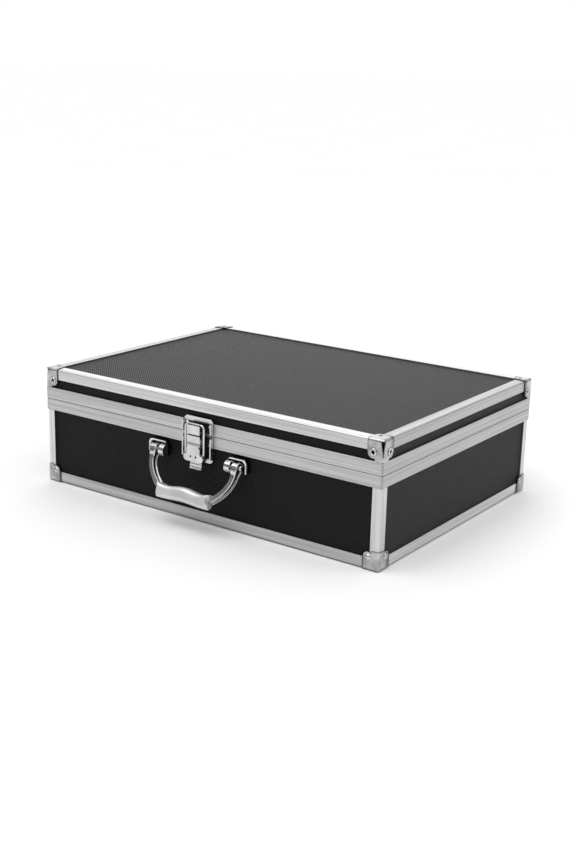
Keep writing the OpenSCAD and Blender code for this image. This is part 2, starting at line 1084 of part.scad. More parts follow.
module bail_side() {
    leg_low = bail_z + elbow_bend;
    leg_high = bar_z - bail_bend;
    translate([-bail_half, bail_y, leg_low]) wire(leg_high - leg_low);
    translate([-bail_half, bail_y, leg_high]) wire_bend(bail_bend);
    translate([-bail_half, bail_y, leg_low]) mirror([0, 0, 1]) wire_bend(elbow_bend);
    translate([-bail_half + elbow_bend, bail_y, bail_z])
        rotate([0, 90, 0]) wire(bail_half - elbow_bend - ear_x + lever_t + bail_tip);
}

module latch_bail() {
    placed() color(nickel) {
        both_sides() bail_side();
        translate([-bail_half + bail_bend, bail_y, bar_z])
            rotate([0, 90, 0]) wire(2 * (bail_half - bail_bend));
    }
}

module latch_keeper() {
    placed() color(nickel) difference() {
        union() {
            wall_sheet(-latch_face, -frame_y) plate_outline(keeper_low_z, keeper_high_z, true);
            side_rims(keeper_low_z, keeper_high_z - plate_corner_r);
            block([-hook_half, hook_face, hook_floor_z - hook_t],
                  [hook_half, -latch_face + tiny, hook_floor_z]);
            block([-hook_half, hook_face, hook_low_z],
                  [hook_half, hook_face + hook_t, hook_floor_z + hook_lip_h]);
        }
        latch_rivet_spots(keeper_rivet) drill(small_r + fit);
    }
}

// ---- handle

module bracket_outline() {
    intersection() {
        translate([bracket_in, bracket_low_z - bracket_corner_r])
            rounded_rect([bracket_out - bracket_in, bracket_high_z - bracket_low_z
                + bracket_corner_r], bracket_corner_r);
        translate([bracket_in, bracket_low_z])
            square([bracket_out - bracket_in, bracket_high_z - bracket_low_z]);
    }
}

module bracket_rim() {
    difference() {
        bracket_outline();
        translate([-bracket_rim_t, -bracket_rim_t]) bracket_outline();
        translate([0, -bracket_rim_t]) square([bracket_in + knob_w, bracket_low_z]);
    }
}

module bracket_knob() {
    translate([bracket_in, knob_y, knob_z]) rotate([0, 90, 0]) cylinder(r = knob_r, h = knob_w);
    block([bracket_in, knob_y, knob_z - knob_r],
          [bracket_in + knob_w, -board_y, knob_z + knob_r]);
}

module handle_axis_bore(r) {
    translate([bracket_in + pin_inset, handle_y, handle_z])
        rotate([0, 90, 0]) cylinder(r = r, h = bracket_out - bracket_in);
}

module handle_bracket() {
    difference() {
        union() {
            wall_sheet(-board_y - plate_t, -board_y) bracket_outline();
            wall_sheet(-board_y - bracket_rim_depth, -board_y) bracket_rim();
            bracket_knob();
            block([bracket_in + knob_w, stop_y, bracket_low_z], [arm_out, -board_y, stop_z]);
        }
        block([0, -board_y, bracket_low_z - knob_r],
              [bracket_out, 0, bracket_high_z + knob_r]);
        handle_axis_bore(handle_pin_r + fit);
        for (x = bracket_rivet_x) {
            on_front(x, -(board_y + plate_t), bracket_rivet_z) drill(small_r + fit);
        }
    }
}

module handle_bracket_right() {
    placed() color(nickel) handle_bracket();
}

module handle_bracket_left() {
    placed() color(nickel) mirror([1, 0, 0]) handle_bracket();
}

module handle_pivot_pins() {
    start = bracket_in + pin_inset;
    end = arm_out + pin_head_gap;
    placed() color(nickel) both_sides() {
        translate([start, handle_y, handle_z])
            rotate([0, 90, 0]) cylinder(r = handle_pin_r, h = end - start + tiny);
        translate([end, handle_y, handle_z])
            rotate([0, 90, 0]) cylinder(r = pin_head_r, h = pin_head_t);
    }
}

// handle frame: pivot axis at the origin, arms hanging down -Z, +Y towards the case
module in_handle_frame() {
    translate([0, handle_y, handle_z]) rotate([-handle_tilt, 0, 0]) children();
}

module arm_section() {
    translate([arc_in, -arm_half_t]) rounded_rect([arm_w, 2 * arm_half_t], arm_edge_r);
}

// metal bow: a ring sector cut level inside the grip, a straight core and two round heads
module handle_bow() {
    intersection() {
        translate([0, 0, arc_drop])
            rotate([90, 0, 0]) rotate([0, 0, 180]) rotate_extrude(angle = 180, $fn = 128)
                arm_section();
        block([-arc_out - over, -head_r, -core_s[1]], [arc_out + over, head_r, 0]);
    }
    block([-grip_half + core_inset, -arm_half_t, -core_s[1]],
          [grip_half - core_inset, arm_half_t, -core_s[0]]);
    both_sides()
        translate([arm_out - arm_w + arm_side_gap, 0, 0])
            rotate([0, 90, 0]) cylinder(r = head_r, h = arm_w - arm_side_gap);
}

module handle_bail() {
    placed() color(nickel) in_handle_frame() difference() {
        handle_bow();
        translate([-case_w / 2, 0, 0])
            rotate([0, 90, 0]) cylinder(r = handle_pin_r + fit, h = case_w);
    }
}

// grip outline seen from the front: level shoulders, raised middle and arched underside
module grip_front() {
    arch_r = (pow(grip_arch_half, 2) + pow(grip_arch, 2)) / (2 * grip_arch);
    bulge_r = (pow(grip_bulge_half, 2) + pow(grip_bulge, 2)) / (2 * grip_bulge);
    difference() {
        union() {
            translate([-grip_half, -grip_s[1] - over])
                square([2 * grip_half, grip_s[1] - grip_s[0] + over]);
            intersection() {
                translate([0, -grip_s[0] + grip_bulge - bulge_r]) circle(bulge_r, $fn = 180);
                translate([-grip_bulge_half, -grip_s[0] - over])
                    square([2 * grip_bulge_half, 2 * over + grip_bulge]);
            }
        }
        translate([0, -grip_s[1] + grip_arch - arch_r]) circle(arch_r, $fn = 240);
    }
}

// slot in the grip that takes the core of the bow and the ends of its arms
module bow_slot() {
    wide = arm_half_t + fit;
    block([-grip_half - over, -wide, -core_s[1] - fit],
          [grip_half + over, wide, -core_s[0] + fit]);
    both_sides()
        block([grip_slot_x, -wide, -core_s[1] - fit],
              [grip_half + over, wide, -grip_s[0] + 2 * over]);
}

module handle_grip() {
    deep = grip_n[1] - grip_n[0];
    tall = grip_s[1] - grip_s[0] + grip_bulge + over;
    placed() color(pearl) in_handle_frame() difference() {
        intersection() {
            translate([0, grip_n[1] + over, 0])
                rotate([90, 0, 0]) linear_extrude(deep + 2 * over) grip_front();
            along_x(2 * grip_half + 2 * over)
                translate([grip_n[0], -grip_s[1]]) rounded_rect([deep, tall], grip_round);
        }
        bow_slot();
    }
}

base_bottom_panel();
base_front_panel();
base_back_panel();
base_left_panel();
base_right_panel();
bottom_rail_front();
bottom_rail_back();
bottom_rail_left();
bottom_rail_right();
corner_post_front_left();
corner_post_front_right();
corner_post_back_left();
corner_post_back_right();
base_frame_front();
base_frame_back();
base_frame_left();
base_frame_right();
bottom_cap_front_left();
bottom_cap_front_right();
bottom_cap_back_left();
bottom_cap_back_right();
bottom_cap_rivets();
base_foam();
base_wall_lining();
base_hardware_rivets();
hinge_base_leaves();
hinge_pins();
latch_base_plate();
latch_lever_pin();
latch_lever();
latch_bail();
handle_bracket_left();
handle_bracket_right();
handle_pivot_pins();
handle_bail();
handle_grip();
lid_top_panel();
lid_front_panel();
lid_back_panel();
lid_left_panel();
lid_right_panel();
top_rail_front();
top_rail_back();
top_rail_left();
top_rail_right();
lid_frame_front();
lid_frame_back();
lid_frame_left();
lid_frame_right();
top_cap_front_left();
top_cap_front_right();
top_cap_back_left();
top_cap_back_right();
top_cap_eyelets();
lid_foam();
lid_hardware_rivets();
latch_keeper();
hinge_lid_leaves();
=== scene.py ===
import json
import math

import bmesh
import bpy
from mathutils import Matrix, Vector


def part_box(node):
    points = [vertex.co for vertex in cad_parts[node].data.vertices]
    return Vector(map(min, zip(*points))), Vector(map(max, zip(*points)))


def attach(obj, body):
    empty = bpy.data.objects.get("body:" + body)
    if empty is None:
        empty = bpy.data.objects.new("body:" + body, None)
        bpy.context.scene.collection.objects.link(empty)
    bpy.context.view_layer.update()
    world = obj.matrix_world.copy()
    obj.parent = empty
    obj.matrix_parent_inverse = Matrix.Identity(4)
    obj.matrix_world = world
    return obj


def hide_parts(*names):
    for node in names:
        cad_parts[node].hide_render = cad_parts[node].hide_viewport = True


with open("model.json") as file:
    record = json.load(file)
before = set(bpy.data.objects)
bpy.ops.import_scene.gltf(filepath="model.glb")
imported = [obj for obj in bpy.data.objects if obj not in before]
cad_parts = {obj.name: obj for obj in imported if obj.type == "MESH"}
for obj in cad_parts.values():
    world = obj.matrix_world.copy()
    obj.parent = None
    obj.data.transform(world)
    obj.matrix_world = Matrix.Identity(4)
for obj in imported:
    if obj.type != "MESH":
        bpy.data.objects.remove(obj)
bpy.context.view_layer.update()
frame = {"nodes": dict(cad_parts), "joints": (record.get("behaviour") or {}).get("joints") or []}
nodes = frame["nodes"]
joints = {j["name"]: j for j in frame["joints"]}
MM = 0.001


# ---------------------------------------------------------------- node helpers

def new_material(name):
    mat = bpy.data.materials.new(name)
    mat.use_nodes = True
    tree = mat.node_tree
    return mat, tree, tree.nodes["Principled BSDF"]


def math_node(tree, operation, a, b=None):
    node = tree.nodes.new("ShaderNodeMath")
    node.operation = operation
    for i, value in enumerate((a, b)):
        if value is None:
            continue
        if isinstance(value, (int, float)):
            node.inputs[i].default_value = value
        else:
            tree.links.new(value, node.inputs[i])
    return node.outputs[0]


def object_xyz(tree):
    coords = tree.nodes.new("ShaderNodeTexCoord")
    split = tree.nodes.new("ShaderNodeSeparateXYZ")
    tree.links.new(coords.outputs["Object"], split.inputs[0])
    return coords.outputs["Object"], split.outputs


def noise(tree, vector, scale, detail=3.0, roughness=0.5):
    """Noise in the object's own metres; scale is cycles a metre, one number or one for each axis."""
    mapping = tree.nodes.new("ShaderNodeMapping")
    mapping.inputs["Scale"].default_value = (scale,) * 3 if isinstance(scale, (int, float)) else scale
    tree.links.new(vector, mapping.inputs["Vector"])
    node = tree.nodes.new("ShaderNodeTexNoise")
    node.inputs["Scale"].default_value = 1.0
    node.inputs["Detail"].default_value = detail
    node.inputs["Roughness"].default_value = roughness
    tree.links.new(mapping.outputs[0], node.inputs["Vector"])
    return node.outputs["Fac"]


def remap(tree, value, low, high, to_low, to_high):
    node = tree.nodes.new("ShaderNodeMapRange")
    for key, number in (("From Min", low), ("From Max", high), ("To Min", to_low), ("To Max", to_high)):
        node.inputs[key].default_value = number
    tree.links.new(value, node.inputs["Value"])
    return node.outputs[0]


def weighted(tree, a, share_a, b, share_b):
    """The weighted sum of two values."""
    return math_node(tree, "ADD", math_node(tree, "MULTIPLY", a, share_a),
                     math_node(tree, "MULTIPLY", b, share_b))


def mix_colour(tree, factor, first, second):
    """first where the factor is 0 and second where it is 1; each is a colour or another node's output."""
    node = tree.nodes.new("ShaderNodeMix")
    node.data_type = "RGBA"
    tree.links.new(factor, node.inputs[0])
    for slot, colour in ((6, first), (7, second)):
        if isinstance(colour, tuple):
            node.inputs[slot].default_value = (*colour, 1)
        else:
            tree.links.new(colour, node.inputs[slot])
    return node.outputs[2]


def times(colour, share):
    return tuple(c * share for c in colour)


def bump(tree, shader, height, strength, distance):
    node = tree.nodes.new("ShaderNodeBump")
    node.inputs["Strength"].default_value = strength
    node.inputs["Distance"].default_value = distance
    tree.links.new(height, node.inputs["Height"])
    tree.links.new(node.outputs[0], shader.inputs["Normal"])


def painted_crevice_shade(tree, colour, reach, strength):
    """Painted shade: darkens a colour by ambient occlusion in crevices and between parts, where shade falls.
    """
    hollow = tree.nodes.new("ShaderNodeAmbientOcclusion")
    hollow.samples = 8
    hollow.inputs["Distance"].default_value = reach
    open_sky = remap(tree, hollow.outputs["AO"], 0.35, 0.95, 1.0 - strength, 1.0)
    return mix_colour(tree, open_sky, (0, 0, 0), colour)


# ---------------------------------------------------------------- materials

DIAMOND_PITCH = 1.7 * MM
GROOVE_WANDER = 0.7 * MM


def laminate(name, a, b, lean, light, gloss, emboss):
    """Black laminate pressed with small diamonds; a and b are the axes in the board's plane.
    lean is 1 or -1, the way that the deeper family of grooves leans. light is the crest colour, given for
    each way a board faces as painted light; the grooves are painted darker as painted shade."""
    mat, tree, shader = new_material(name)
    vector, xyz = object_xyz(tree)
    grain = noise(tree, vector, 1900.0, 2.0)
    wobble = math_node(tree, "MULTIPLY", noise(tree, vector, 130.0, 2.0), GROOVE_WANDER)
    turn = math.pi / DIAMOND_PITCH
    ridges = []
    for sign in (lean, -lean):
        way = math_node(tree, "ADD", xyz[a], math_node(tree, "MULTIPLY", xyz[b], sign))
        way = math_node(tree, "ADD", math_node(tree, "MULTIPLY", way, math.sqrt(0.5)), wobble)
        wave = math_node(tree, "SINE", math_node(tree, "MULTIPLY", way, turn))
        ridges.append(math_node(tree, "ABSOLUTE", wave))
    pebble = math_node(tree, "MULTIPLY", ridges[0], math_node(tree, "POWER", ridges[1], 0.35))
    cloud = noise(tree, vector, 14.0, 3.0)
    height = math_node(tree, "ADD", pebble, math_node(tree, "MULTIPLY", grain, 0.2))
    # painted shade: the diamond grooves are coloured darker than the crests
    shade = weighted(tree, pebble, 0.85, cloud, 0.15)
    # painted shade in the crevices along the rails, from ambient occlusion
    colour = painted_crevice_shade(tree, mix_colour(tree, shade, times(light, 0.08), light), 3.0 * MM, 0.9)
    tree.links.new(colour, shader.inputs["Base Color"])
    tree.links.new(remap(tree, pebble, 0.0, 1.0, 0.70, 0.38), shader.inputs["Roughness"])
    shader.inputs["Specular IOR Level"].default_value = gloss
    bump(tree, shader, height, 1.0, emboss)
    return mat


GROOVE_CORE, GROOVE_EDGE = 0.15 * MM, 0.5 * MM
CORNER_DARK_WIDTH = 1.8 * MM


def brushed(name, axis, tone, grooves=(), corner=None):
    """Satin aluminium extrusion with die streaks along one axis, and fine grooves as (height, depth).
    corner is (half size, middle): the outer box whose upright edges are darkened in patches."""
    colour = (tone, tone, tone * 1.008)
    mat, tree, shader = new_material(name)
    vector, xyz = object_xyz(tree)
    fine = noise(tree, vector, [2200.0 if i != axis else 9.0 for i in range(3)], 3.0, 0.6)
    broad = noise(tree, vector, [620.0 if i != axis else 4.0 for i in range(3)], 2.0)
    cloud = noise(tree, vector, 30.0, 3.0)
    nicks = noise(tree, vector, (700.0, 700.0, 900.0), 2.0)
    streak = weighted(tree, fine, 0.5, broad, 0.5)
    shine = remap(tree, streak, 0.36, 0.60, 0.0, 1.0)
    height = math_node(tree, "MULTIPLY", streak, 0.4)
    for at, depth in grooves:
        gap = math_node(tree, "ABSOLUTE", math_node(tree, "SUBTRACT", xyz[2], at))
        line = remap(tree, gap, GROOVE_CORE, GROOVE_EDGE, 0.0, 1.0)
        # painted shade: each groove is coloured darker as well as bumped
        shine = math_node(tree, "MULTIPLY", shine, remap(tree, line, 0.0, 1.0, 1.0 - depth, 1.0))
        height = math_node(tree, "ADD", height, math_node(tree, "MULTIPLY", line, depth))
    shine = math_node(tree, "MULTIPLY", shine, remap(tree, nicks, 0.66, 0.72, 1.0, 0.55))
    if corner:
        edges = []
        for i in (0, 1):
            out = math_node(tree, "ABSOLUTE", math_node(tree, "SUBTRACT", xyz[i], corner[1][i]))
            edges.append(remap(tree, out, corner[0][i] - CORNER_DARK_WIDTH, corner[0][i], 0.0, 1.0))
        nearness = math_node(tree, "MINIMUM", *edges)
        # darker in patches along the upright corner edges
        patches = remap(tree, noise(tree, vector, 170.0), 0.35, 0.55, 0.3, 1.6)
        blotches = math_node(tree, "MULTIPLY", nearness, patches)
        shine = math_node(tree, "SUBTRACT", shine, blotches)
    # painted shade in crevices and between parts, from ambient occlusion
    tinted = painted_crevice_shade(tree, mix_colour(tree, shine, times(colour, 0.66), colour), 1.5 * MM, 0.6)
    tree.links.new(tinted, shader.inputs["Base Color"])
    rough = math_node(tree, "ADD", remap(tree, fine, 0.3, 0.7, 0.30, 0.42),
                      math_node(tree, "MULTIPLY", cloud, 0.10))
    tree.links.new(rough, shader.inputs["Roughness"])
    shader.inputs["Metallic"].default_value = 1.0
    bump(tree, shader, height, 0.5, 0.06 * MM)
    return mat


def arm_ends(tree, xyz, corner, reach):
    """1 at the ends of a corner cap's arms and 0 a little way in.
    corner is (half size, middle) of the box over the caps, and reach is the length of a cap's arm."""
    ends = []
    for axis, fade in ((0, 1.0 * MM), (1, 5.5 * MM)):
        out = math_node(tree, "ABSOLUTE", math_node(tree, "SUBTRACT", xyz[axis], corner[1][axis]))
        end = corner[0][axis] - reach
        ends.append(remap(tree, out, end, end + fade, 1.0, 0.0))
    return math_node(tree, "MAXIMUM", *ends)


def plated(name, colour, rough, ripple=0.06, recess=None, tarnish=0.8, arms=None, creases=(), crevice_shade_strength=0.8):
    """Nickel or chrome plating: blotches that change the gloss, fine scratches, and painted shade in
    recesses.
    recess is (low, high, fade): inside that box the plating is painted dark as shade, and duller. arms is the
    (corner, reach) of arm_ends, where the ends of the cap's arms get painted shade. creases are lines of
    painted shade across, as (height, half width). soot sets how strongly crevices get painted shade."""
    mat, tree, shader = new_material(name)
    vector, xyz = object_xyz(tree)
    peel = noise(tree, vector, 420.0, 2.0)
    blotches = noise(tree, vector, 110.0, 4.0)
    scratch = noise(tree, vector, (300.0, 3800.0, 800.0), 2.0)
    shade = mix_colour(tree, remap(tree, blotches, 0.35, 0.65, 0.0, 1.0), times(colour, tarnish), colour)
    gloss = math_node(tree, "ADD", remap(tree, blotches, 0.3, 0.7, rough * 0.75, rough * 1.3),
                      math_node(tree, "MULTIPLY", scratch, rough * 0.3))
    if recess:
        # painted shade: darker inside the recess box
        low, high, fade = recess
        depth = remap(tree, xyz[1], low.y, low.y + fade, 0.0, 1.0)
        for axis in (0, 2):
            above = remap(tree, xyz[axis], low[axis], low[axis] + fade, 0.0, 1.0)
            depth = math_node(tree, "MULTIPLY", depth, above)
            below = remap(tree, xyz[axis], high[axis] - fade, high[axis], 1.0, 0.0)
            depth = math_node(tree, "MULTIPLY", depth, below)
        shade = mix_colour(tree, depth, shade, times(colour, 0.06))
        gloss = math_node(tree, "ADD", gloss, math_node(tree, "MULTIPLY", depth, 0.2))
    if arms:
        # painted shade at the open ends of the cap arms
        arm_end_shade = math_node(tree, "MULTIPLY", arm_ends(tree, xyz, *arms), 0.85)
        shade = mix_colour(tree, arm_end_shade, shade, times(colour, 0.14))
    for at, half in creases:
        # painted shade along each crease
        gap = math_node(tree, "ABSOLUTE", math_node(tree, "SUBTRACT", xyz[2], at))
        clear = remap(tree, gap, half * 0.4, half, 0.0, 1.0)
        shade = mix_colour(tree, clear, times(colour, 0.12), shade)
    # painted shade in crevices, from ambient occlusion
    tree.links.new(painted_crevice_shade(tree, shade, 1.6 * MM, crevice_shade_strength), shader.inputs["Base Color"])
    tree.links.new(gloss, shader.inputs["Roughness"])
    shader.inputs["Metallic"].default_value = 1.0
    height = math_node(tree, "ADD", peel, math_node(tree, "MULTIPLY", scratch, 0.2))
    bump(tree, shader, height, ripple, 0.05 * MM)
    return mat


def pearl_plastic(name):
    mat, tree, shader = new_material(name)
    vector, _ = object_xyz(tree)
    flake = noise(tree, vector, 5200.0, 1.0)
    cloud = noise(tree, vector, 60.0, 3.0)
    tone = remap(tree, weighted(tree, flake, 0.5, cloud, 0.5), 0.3, 0.7, 0, 1)
    colour = mix_colour(tree, tone, (0.59, 0.59, 0.59), (0.71, 0.71, 0.705))
    tree.links.new(colour, shader.inputs["Base Color"])
    tree.links.new(remap(tree, cloud, 0.3, 0.7, 0.30, 0.38), shader.inputs["Roughness"])
    shader.inputs["Metallic"].default_value = 0.45
    shader.inputs["Coat Weight"].default_value = 0.25
    shader.inputs["Coat Roughness"].default_value = 0.2
    bump(tree, shader, flake, 0.06, 0.03 * MM)
    return mat


FOAM_BLACK = (0.020, 0.020, 0.022)


def foam_material(name):
    mat, tree, shader = new_material(name)
    vector, _ = object_xyz(tree)
    cells = tree.nodes.new("ShaderNodeTexVoronoi")
    cells.inputs["Scale"].default_value = 1400.0
    tree.links.new(vector, cells.inputs["Vector"])
    cloud = noise(tree, vector, 40.0, 4.0)
    tone = weighted(tree, cells.outputs["Distance"], 0.7, cloud, 0.5)
    colour = mix_colour(tree, tone, FOAM_BLACK, times(FOAM_BLACK, 1.9))
    tree.links.new(colour, shader.inputs["Base Color"])
    shader.inputs["Roughness"].default_value = 0.95
    shader.inputs["Specular IOR Level"].default_value = 0.2
    shader.inputs["Sheen Weight"].default_value = 0.15
    shader.inputs["Sheen Roughness"].default_value = 0.5
    bump(tree, shader, cells.outputs["Distance"], 0.6, 0.3 * MM)
    return mat


def cloth_material(name):
    mat, tree, shader = new_material(name)
    vector, _ = object_xyz(tree)
    fibre = noise(tree, vector, 1500.0, 5.0, 0.7)
    cloud = noise(tree, vector, 50.0, 3.0)
    tone = weighted(tree, fibre, 0.7, cloud, 0.4)
    colour = mix_colour(tree, tone, (0.010, 0.010, 0.011), (0.038, 0.038, 0.041))
    tree.links.new(colour, shader.inputs["Base Color"])
    shader.inputs["Roughness"].default_value = 0.9
    shader.inputs["Sheen Weight"].default_value = 0.3
    bump(tree, shader, fibre, 0.5, 0.15 * MM)
    return mat


# painted light: one copy of the black laminate for each way a board faces, the front boards darkest and the
# flat boards lightest
board_lit_copies = {
    "flat": laminate("laminate_flat", 0, 1, 1, (0.028, 0.028, 0.029), 0.20, 0.34 * MM),
    "wall_x": laminate("laminate_front", 0, 2, -1, (0.006, 0.006, 0.0062), 0.18, 0.46 * MM),
    "wall_y": laminate("laminate_side", 1, 2, 1, (0.023, 0.023, 0.0235), 0.23, 0.58 * MM),
}
plate_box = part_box("latch_base_plate")
keeper_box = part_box("latch_keeper")
bracket_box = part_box("handle_bracket_left")
caps_low, caps_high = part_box("top_cap_front_left")[0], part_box("top_cap_back_right")[1]
case_middle = (caps_low + caps_high) / 2
cap_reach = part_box("top_cap_front_left")[1].x - caps_low.x
# painted shade at the open ends of the cap arms
cap_metal = plated("cap_nickel", (0.565, 0.563, 0.558), 0.24, 0.06, tarnish=0.54,
                   arms=(((caps_high - caps_low) / 2, case_middle), cap_reach))
rivet_metal = plated("rivet_nickel", (0.64, 0.638, 0.632), 0.16, 0.03, tarnish=0.75)
latch_metal = plated("latch_nickel", (0.68, 0.678, 0.672), 0.15, 0.02)
screw_metal = plated("hardware_nickel", (0.86, 0.858, 0.85), 0.20, 0.02, tarnish=0.9, crevice_shade_strength=0.3)
lever_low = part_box("latch_lever")[0]
dimple_z = lever_low.z + 11.7 * MM
# painted shade in the lever's two dimples and along its two creases
lever_metal = plated("lever_nickel", (0.68, 0.678, 0.672), 0.15, 0.02,
                     recess=(Vector((-4.2 * MM, lever_low.y + 0.08 * MM, dimple_z - 1.2 * MM)),
                             Vector((4.2 * MM, 0, dimple_z + 1.2 * MM)), 0.12 * MM),
                     creases=[(lever_low.z + 2.1 * MM, 0.5 * MM), (lever_low.z + 4.6 * MM, 0.45 * MM)])
# painted shade in the plate's recess behind its raised rim
plate_metal = plated("latch_plate_nickel", (0.68, 0.678, 0.672), 0.20, 0.03,
                     recess=(Vector((-11.5 * MM, plate_box[0].y + 3 * MM, plate_box[0].z + 3 * MM)),
                             Vector((13.2 * MM, 0, keeper_box[1].z - 3.2 * MM)), 1.2 * MM))
# painted shade in each handle bracket's recess against the case
bracket_metal = plated("bracket_nickel", (0.70, 0.698, 0.692), 0.12, 0.02,
                       recess=(Vector((-1, bracket_box[1].y - 4.0 * MM, bracket_box[0].z - 10 * MM)),
                               Vector((1, 0, bracket_box[1].z + 10 * MM)), 1.2 * MM))
hinge_metal = plated("hinge_nickel", (0.64, 0.635, 0.62), 0.26, 0.05)
chrome = plated("handle_chrome", (0.68, 0.68, 0.68), 0.10, 0.02, tarnish=0.9)
grip_skin = pearl_plastic("grip_pearl")
foam_skin = foam_material("foam_cells")
lining_skin = cloth_material("lining_cloth")

frame_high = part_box("lid_frame_front")[1]
base_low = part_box("base_frame_front")[0]
lid_grooves = [(frame_high.z - 1.4 * MM, 0.28), (frame_high.z - 6.0 * MM, 0.36)]
base_grooves = [(base_low.z + 1.4 * MM, 0.25), (base_low.z + 5.2 * MM, 0.3)]
mouth_low, mouth_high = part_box("lid_frame_left")[0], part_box("lid_frame_right")[1]
mouth = ((mouth_high - mouth_low) / 2, (mouth_high + mouth_low) / 2)
# painted light: a lighter and a darker copy of the aluminium for each kind of piece, as (along x, along y);
# the bottom rails along x are darker than those along y, as painted shadow near the floor
PAINTED_LIGHT_TONES = {"top": (0.74, 0.53), "bottom": (0.60, 0.78), "lid": (0.60, 0.53), "base": (0.60, 0.55)}
frame_grooves = {"lid": lid_grooves, "base": base_grooves}
extrusion = {}
for axis, letter in enumerate("xy"):
    for part, painted_light_tones in PAINTED_LIGHT_TONES.items():
        if part in frame_grooves:
            made = brushed(f"aluminium_{part}_frame_{letter}", axis, painted_light_tones[axis], frame_grooves[part], mouth)
        else:
            made = brushed(f"aluminium_{part}_rail_{letter}", axis, painted_light_tones[axis])
        extrusion[part + "_" + letter] = made
extrusion["post"] = brushed("aluminium_post", 2, 0.75)


# ---------------------------------------------------------------- CAD nodes: finish and soft edges

def give(obj, material):
    obj.data.materials.clear()
    obj.data.materials.append(material)


def soften(obj, width, segments=2, angle=35.0):
    """Weld the CAD faces together and round their edges a little, so that they catch light."""
    for polygon in obj.data.polygons:
        polygon.use_smooth = True
    weld = obj.modifiers.new("weld", "WELD")
    weld.merge_threshold = 0.002 * MM
    edge = obj.modifiers.new("edge", "BEVEL")
    edge.width = width
    edge.segments = segments
    edge.limit_method = "ANGLE"
    edge.angle_limit = math.radians(angle)
    edge.use_clamp_overlap = True
    even = obj.modifiers.new("even", "WEIGHTED_NORMAL")
    even.keep_sharp = True


def material_of(name):
    if name.endswith("_panel"):
        if "top" in name or "bottom" in name:
            return board_lit_copies["flat"]
        return board_lit_copies["wall_x" if "front" in name or "back" in name else "wall_y"]
    along = "x" if name.endswith(("_front", "_back")) else "y"
    if name.startswith("lid_frame"):
        return extrusion["lid_" + along]
    if name.startswith("base_frame"):
        return extrusion["base_" + along]
    if "rail" in name:
        return extrusion[name.split("_")[0] + "_" + along]
    if name.startswith("corner_post"):
        return extrusion["post"]
    if "_cap_" in name and "rivet" not in name and "eyelet" not in name:
        return cap_metal
    if "hardware" in name:
        return screw_metal
    if "rivets" in name or "eyelets" in name:
        return rivet_metal
    if name.startswith("hinge"):
        return hinge_metal
    if name in ("latch_base_plate", "latch_keeper"):
        return plate_metal
    if name == "latch_lever":
        return lever_metal
    if name.startswith("latch"):
        return latch_metal
    if "bracket" in name:
        return bracket_metal
    if name.startswith("handle"):
        return chrome
    return lining_skin


FINE_EDGE_MM = 0.12
EDGE_MM = {"rail": 0.3, "frame": 0.3, "post": 0.3, "cap": 0.25, "bracket": 0.45, "latch": 0.22, "hinge": 0.2}
for name, obj in nodes.items():
    give(obj, material_of(name))
    width = next((w for key, w in EDGE_MM.items() if key in name), FINE_EDGE_MM)
    if not name.endswith("_panel"):
        soften(obj, width * MM)


# ---------------------------------------------------------------- mesh helpers

def link(name, bm, material, body, replaces=()):
    mesh = bpy.data.meshes.new(name)
    bmesh.ops.recalc_face_normals(bm, faces=bm.faces)
    for face in bm.faces:
        face.smooth = True
    bm.to_mesh(mesh)
    bm.free()
    obj = bpy.data.objects.new(name, mesh)
    bpy.context.scene.collection.objects.link(obj)
    mesh.materials.append(material)
    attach(obj, body)
    if replaces:
        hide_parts(*replaces)
    return obj


def loft(bm, rings):
    """Skin closed rings of equal length in order, and close both ends."""
    made = [[bm.verts.new(p) for p in ring] for ring in rings]
    count = len(made[0])
    for first, second in zip(made, made[1:]):
        for i in range(count):
            j = (i + 1) % count
            bm.faces.new((first[i], first[j], second[j], second[i]))
    for ring in (made[0], made[-1]):
        centre = bm.verts.new(sum((v.co for v in ring), Vector()) / count)
        for i in range(count):
            bm.faces.new((ring[i], ring[(i + 1) % count], centre))


def superellipse(half_a, half_b, power, count):
    points = []
    for i in range(count):
        t = 2 * math.pi * i / count
        c, s = math.cos(t), math.sin(t)
        points.append((half_a * math.copysign(abs(c) ** (2 / power), c),
                       half_b * math.copysign(abs(s) ** (2 / power), s)))
    return points


def ease(t):
    t = min(max(t, 0.0), 1.0)
    return t * t * (3 - 2 * t)


# ---------------------------------------------------------------- handle

TILT = math.radians(23.0)
pivot = Vector(joints["handle_swing"]["pos_m"])


def in_handle(x, n, s):
    """Handle space in mm: n towards the case, s from the pivot towards the grip."""
    return Vector((x * MM,
                   pivot.y + (n * math.cos(TILT) - s * math.sin(TILT)) * MM,
                   pivot.z - (n * math.sin(TILT) + s * math.cos(TILT)) * MM))


ARC_TOP = -2.2    # these are in handle space, in mm
ARM_X = 42.6
ARM_HALF_W = 3.95
HEAD_R = 4.0
STRAP_T = 2.7     # half thickness, as HEAD_R is for the head
LIP = 0.95
LIP_T = 1.1
CORE_S = 30.4
CORE_HALF = 2.5


def strap_section(half_w, half_t):
    """Chamfered front face, upright sides and a lip along each side at the back, as (sideways, n)."""
    chamfer = min(0.5, half_t * 0.3)
    lip, lip_t = LIP * min(half_t / STRAP_T, 1.0), min(LIP_T, half_t * 0.45)
    side = [(half_w - lip - chamfer, -half_t), (half_w - lip, chamfer - half_t),
            (half_w - lip, half_t - lip_t - 0.15), (half_w - 0.15, half_t - lip_t),
            (half_w, half_t - lip_t + 0.25), (half_w, half_t - 0.25), (half_w - 0.25, half_t)]
    return [(-a, b) for a, b in side] + [(a, b) for a, b in reversed(side)]


